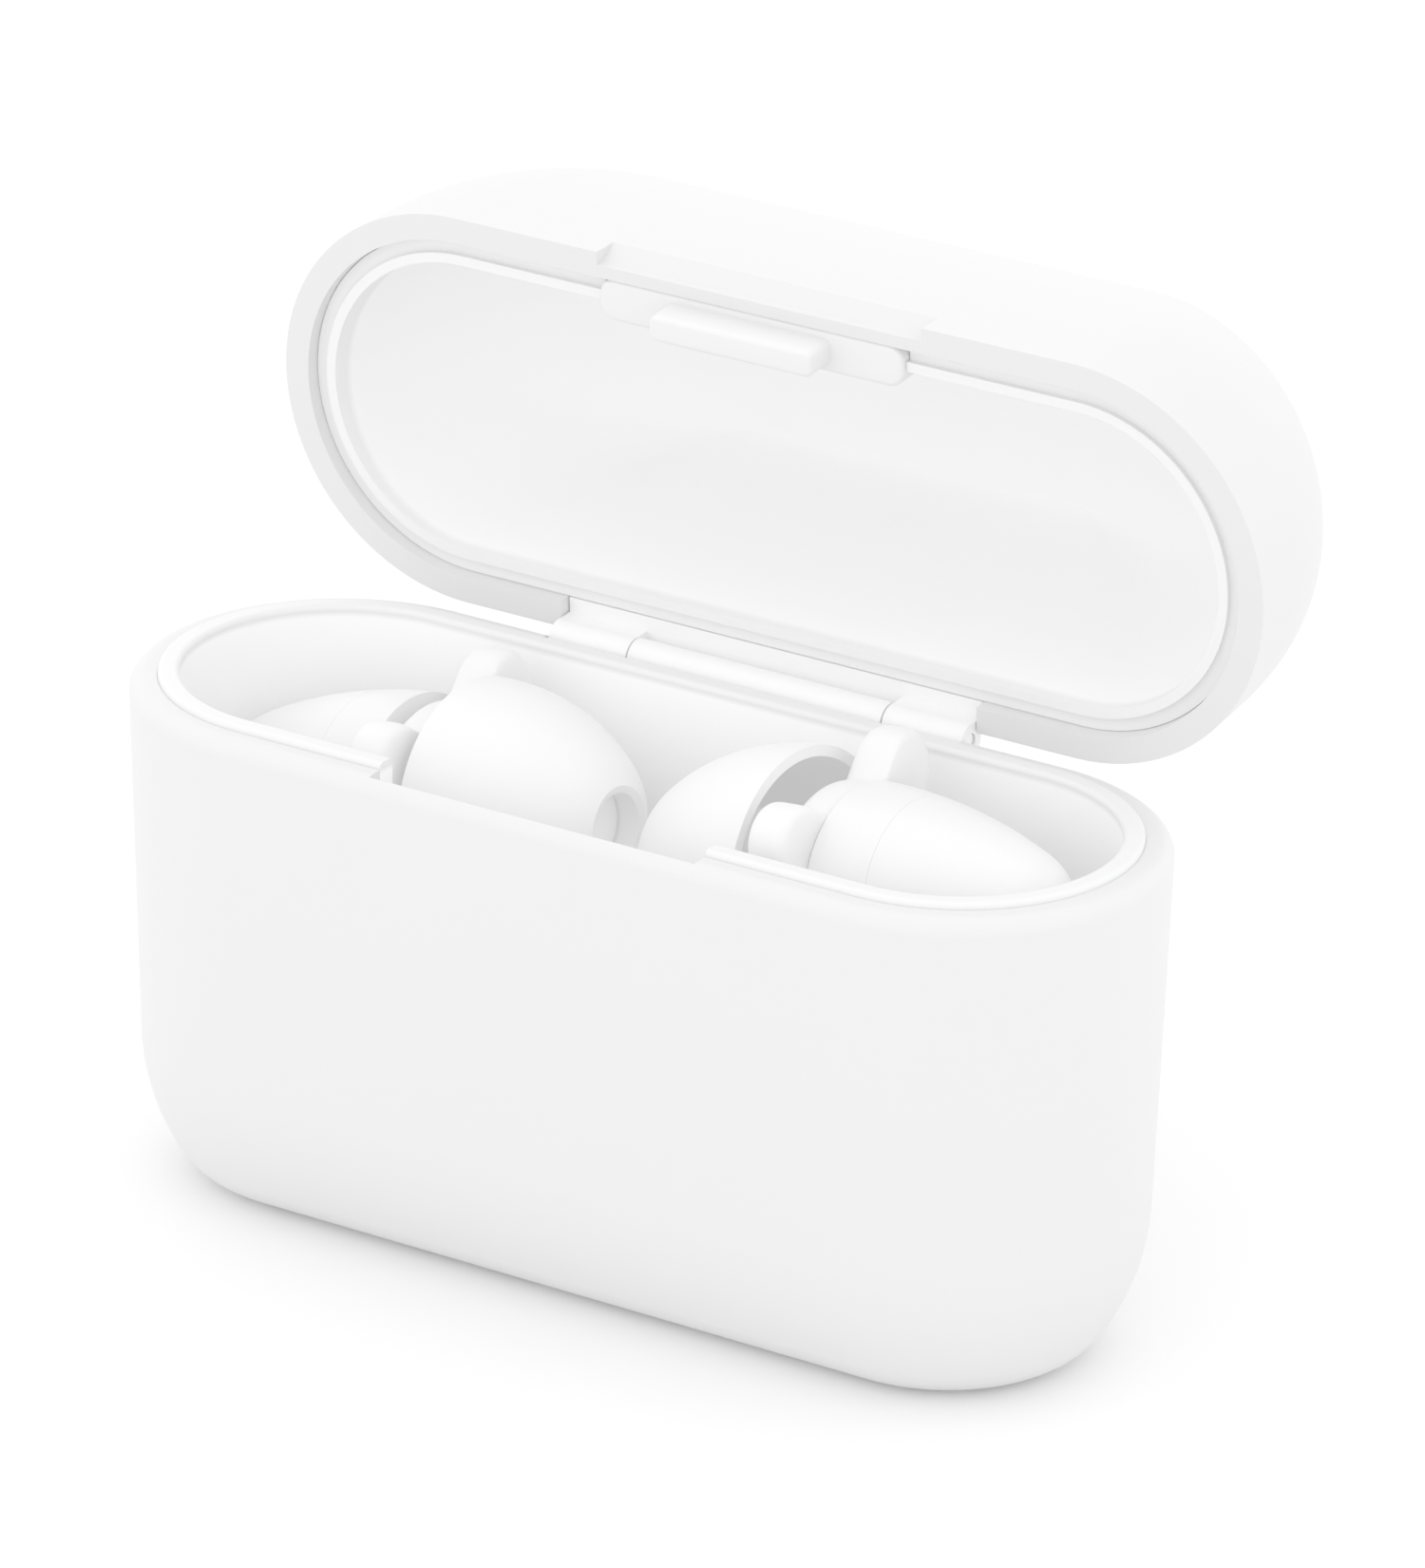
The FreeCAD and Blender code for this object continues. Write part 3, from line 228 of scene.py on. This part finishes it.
def metal(name, colour, roughness, streak_size):
    """Metal with fine streaks in its gloss."""
    material = plain_material(name, colour, roughness)
    tree = material.node_tree
    shader = tree.nodes["Principled BSDF"]
    shader.inputs["Metallic"].default_value = 1.0
    place = tree.nodes.new("ShaderNodeTexCoord")
    streaks = add_noise(tree, place, 1.0 / streak_size, STREAK_DETAIL)
    vary_gloss(tree, shader, streaks, roughness * (1 - STREAK_GLOSS), roughness * (1 + STREAK_GLOSS))
    return material


def case_plastic(name, level, roughness=0.38, painted_shade_band=None):
    return moulded(name, grey(level), roughness, 0.0006, 0.00001, tint=0.012, painted_shade_band=painted_shade_band)


# One white plastic in lit and shaded copies: the case, lid and latch are made darker as painted shade,
# and the liner, hinge and inner pieces lighter as painted light, standing in for how the light falls.
CASE = case_plastic("case_white", 0.625)
LID = case_plastic("lid_white_painted_shade", 0.61)
LATCH = case_plastic("latch_white_painted_shade", 0.68)
# the liner's lip along Y and the tray's rim along Z are darkened by painted shade bands
LINER = case_plastic("liner_white_painted_light", 0.9, roughness=0.45, painted_shade_band=("Y", 13.2, 12.7, 0.74))
HINGE = case_plastic("hinge_white", 0.85, roughness=0.45)
INNER = case_plastic("inner_white_painted_light", 0.97, roughness=0.45, painted_shade_band=("Z", 28.3, 28.6, 0.7))
# the buds and ear tips glow a little as painted light that lifts the shade in the gaps about them
BUD = moulded("bud_white", grey(0.7), 0.3, 0.0008, 0.000005, tint=0.01, painted_glow=0.04)
SILICONE = moulded("silicone_white", grey(0.66), 0.5, 0.0003, 0.00001, tint=0.015, painted_glow=0.16)
SLOT_MATERIALS = {
    "case_white": CASE,
    "hinge_white": HINGE,
    "cradle_white": INNER,
    "bud_white": BUD,
    "silicone_white": SILICONE,
    # the port mesh is painted near white and glows as painted light, so the ear tip's port hole shows no
    # shade
    "mesh_grey": moulded("mesh_grey", grey(0.9), 0.5, 0.0003, 0.00004, tint=0.1, painted_glow=0.12),
    "speaker_grey": moulded("speaker_grey", (0.12, 0.12, 0.125), 0.5, 0.0004, 0.00001, tint=0.05),
    "steel": metal("steel", (0.66, 0.66, 0.67), 0.28, 0.0005),
    "magnet_nickel": metal("magnet_nickel", (0.7, 0.69, 0.67), 0.15, 0.0008),
    "contact_gold": metal("contact_gold", (0.85, 0.62, 0.28), 0.2, 0.0004),
    "tape": moulded("tape", (0.82, 0.8, 0.7), 0.7, 0.0002, 0.00002, tint=0.04),
    "cell_foil": metal("cell_foil", grey(0.72), 0.35, 0.002),
    "lead_rubber": moulded("lead_rubber", (0.45, 0.05, 0.04), 0.5, 0.0002, 0.00001, tint=0.05),
    "board_green": moulded("board_green", (0.02, 0.14, 0.06), 0.4, 0.0005, 0.00002, tint=0.2),
    "chip_black": moulded("chip_black", (0.02, 0.02, 0.022), 0.55, 0.0001, 0.00001, tint=0.1),
    "light_white": moulded("light_white", (0.85, 0.85, 0.8), 0.3, 0.0003, 0.000005, tint=0.02),
    "light_clear": moulded("light_clear", grey(0.9), 0.2, 0.0005, 0.000005, tint=0.01),
    "flex_amber": moulded("flex_amber", (0.45, 0.2, 0.04), 0.35, 0.0005, 0.00001, tint=0.1),
}
# pieces given a lit or shaded copy of their slot's white, as painted light and painted shade
NODE_PAINTED_LIGHT_WHITES = {"charging_tray": INNER, "lid_liner": LINER, "lid_shell": LID}


def paint_frame():
    for entry in frame["record"]["subparts"]:
        name = entry["node"]
        material = NODE_PAINTED_LIGHT_WHITES.get(name, SLOT_MATERIALS[entry["material_slot"]])
        for slot in frame["nodes"][name].material_slots:
            slot.material = material


# ---------------------------------------------------------------------------------------------
# Rounded pieces
# ---------------------------------------------------------------------------------------------
ARC_STEPS = 6


def rounded_sides(low, high, edge):
    """Insets and heights up the side of a slab whose lower and upper rims are rounded."""
    quarters = [math.pi / 2 * i / ARC_STEPS for i in range(ARC_STEPS + 1)]
    rims = [(edge * (1 - math.sin(turn)), edge * (1 - math.cos(turn))) for turn in quarters]
    lower = [(inset, low + rise) for inset, rise in rims]
    upper = [(inset, high - rise) for inset, rise in reversed(rims)]
    return lower + upper


# ---------------------------------------------------------------------------------------------
# Soft collars, made in each earbud's own frame: +Z towards the ear tip, +X up, and Z = 0 at the
# ear tip's open rim. Each lobe has an angle in degrees, the reach of its tip and its half-width.
# ---------------------------------------------------------------------------------------------
BUD_YAW, BUD_PITCH = math.radians(-4.4), math.radians(7.0)
BUD_PLACES = {"left": (-10.5, 0.4, 22.9), "right": (10.25, 0.0, 24.05)}
LOBES = ((42, 8.8, 1.8), (-52, 8.3, 2.0), (140, 7.4, 1.6), (-140, 7.4, 1.6))
LOBE_SPREAD = math.radians(85)
COLLAR_FOOT = {"left": -3.2, "right": -3.75}
COLLAR_THICKNESS, COLLAR_BORE, COLLAR_RING, COLLAR_EDGE = 2.4, 4.03, 5.3, 0.65
COLLAR_STEPS = 288
FILLET_POWER = 16


def bud_matrix(side):
    towards = 1 if side == "left" else -1
    along = Vector((math.cos(BUD_YAW) * math.cos(BUD_PITCH),
                    math.sin(BUD_YAW) * math.cos(BUD_PITCH),
                    math.sin(BUD_PITCH))) * towards
    across = along.cross(Vector((0, 0, 1))).normalized()
    up = across.cross(along)
    turn = Matrix((up, along.cross(up), along)).transposed().to_4x4()
    return Matrix.Translation(Vector(BUD_PLACES[side]) * MM) @ turn


def lobe_reach(angle, lobe_angle, tip, half_width):
    """How far a round-ended lobe reaches from the axis in a direction."""
    turn = abs((angle - lobe_angle + math.pi) % (2 * math.pi) - math.pi)
    if turn > LOBE_SPREAD:
        return 0.0
    centre = tip - half_width
    aside = centre * math.sin(turn)
    if aside <= half_width:
        return centre * math.cos(turn) + math.sqrt(half_width ** 2 - aside ** 2)
    return half_width / math.sin(turn)


def collar_radius(angle, mirror):
    """Outline of ring and lobes. A high power mean blends them together with soft fillets."""
    reaches = [COLLAR_RING]
    for lobe_angle, tip, half_width in LOBES:
        reaches.append(lobe_reach(angle, math.radians(mirror * lobe_angle), tip, half_width))
    return sum(reach ** FILLET_POWER for reach in reaches) ** (1 / FILLET_POWER)


def add_ring_skin(name, rows, material):
    """A smooth skin over rows of points, closed both ways round like a tyre."""
    count = len(rows[0])
    vertices = [point for row in rows for point in row]
    faces = []
    for i in range(len(rows)):
        this, following = i * count, (i + 1) % len(rows) * count
        for j in range(count):
            beside = (j + 1) % count
            faces.append((this + j, this + beside, following + beside, following + j))
    mesh = bpy.data.meshes.new(name)
    mesh.from_pydata(vertices, [], faces)
    skin = bmesh.new()
    skin.from_mesh(mesh)
    bmesh.ops.recalc_face_normals(skin, faces=skin.faces)
    skin.to_mesh(mesh)
    skin.free()
    mesh.shade_smooth()
    mesh.materials.append(material)
    return add_object(name, mesh)


def make_collar(side):
    mirror = 1 if side == "right" else -1
    low = COLLAR_FOOT[side]
    high = low + COLLAR_THICKNESS
    outer_profile = rounded_sides(low, high, COLLAR_EDGE)
    rows = []
    for step in range(COLLAR_STEPS):
        angle = 2 * math.pi * step / COLLAR_STEPS
        outside = collar_radius(angle, mirror)
        profile = [(outside - inset, height) for inset, height in outer_profile]
        profile = [(COLLAR_BORE, low)] + profile + [(COLLAR_BORE, high)]
        rows.append([(radius * math.cos(angle) * MM, radius * math.sin(angle) * MM, height * MM)
                     for radius, height in profile])
    piece = add_ring_skin(side + "_soft_collar", rows, SILICONE)
    piece.matrix_world = bud_matrix(side)
    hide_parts(side + "_collar")
    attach(piece, side + "_earbud")


# ---------------------------------------------------------------------------------------------
# Front latch: the pad behind the lid's scoop and the hook under it. It is made on the shut lid
# and swung open with it. Each slab has its X, Y and Z ranges, corner radius and rim radius.
# ---------------------------------------------------------------------------------------------
LID_OPEN = math.radians(85.77)
HINGE_AXIS = Vector((0, 11.68, 28.15))
LATCH_SLABS = (
    (((-9.95, 8.75), (-9.84, -7.45), (28.64, 32.4)), 0.9, 0.3),
    (((-5.6, 4.4), (-9.4, -7.9), (26.62, 29.0)), 0.45, 0.3),
)


def slab_rings(ranges, corner, edge):
    """Rings of points round an upright slab whose corners and rims are rounded."""
    (x_low, x_high), (y_low, y_high), (z_low, z_high) = ranges
    left, right, front, back = x_low + corner, x_high - corner, y_low + corner, y_high - corner
    centres = ((right, back), (left, back), (left, front), (right, front))
    rings = []
    for inset, height in rounded_sides(z_low, z_high, edge):
        radius = corner - inset
        ring = []
        for quarter, (x, y) in enumerate(centres):
            for i in range(ARC_STEPS + 1):
                angle = math.pi / 2 * (quarter + i / ARC_STEPS)
                ring.append(Vector((x + radius * math.cos(angle), y + radius * math.sin(angle), height)))
        rings.append(ring)
    return rings


def make_latch():
    skin = bmesh.new()
    for slab in LATCH_SLABS:
        rings = [[skin.verts.new(point * MM) for point in ring] for ring in slab_rings(*slab)]
        for lower, upper in zip(rings, rings[1:]):
            for i in range(len(lower)):
                j = (i + 1) % len(lower)
                skin.faces.new((lower[i], lower[j], upper[j], upper[i]))
        skin.faces.new(reversed(rings[0]))
        skin.faces.new(rings[-1])
    mesh = bpy.data.meshes.new("front_latch")
    skin.to_mesh(mesh)
    skin.free()
    mesh.materials.append(LATCH)
    mesh.shade_smooth()
    piece = add_object("front_latch", mesh)
    pivot = Matrix.Translation(HINGE_AXIS * MM)
    piece.matrix_world = pivot @ Matrix.Rotation(-LID_OPEN, 4, "X") @ pivot.inverted()
    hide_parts("lid_latch")
    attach(piece, "lid")


make_camera()
make_studio()
paint_frame()
make_collar("left")
make_collar("right")
make_latch()
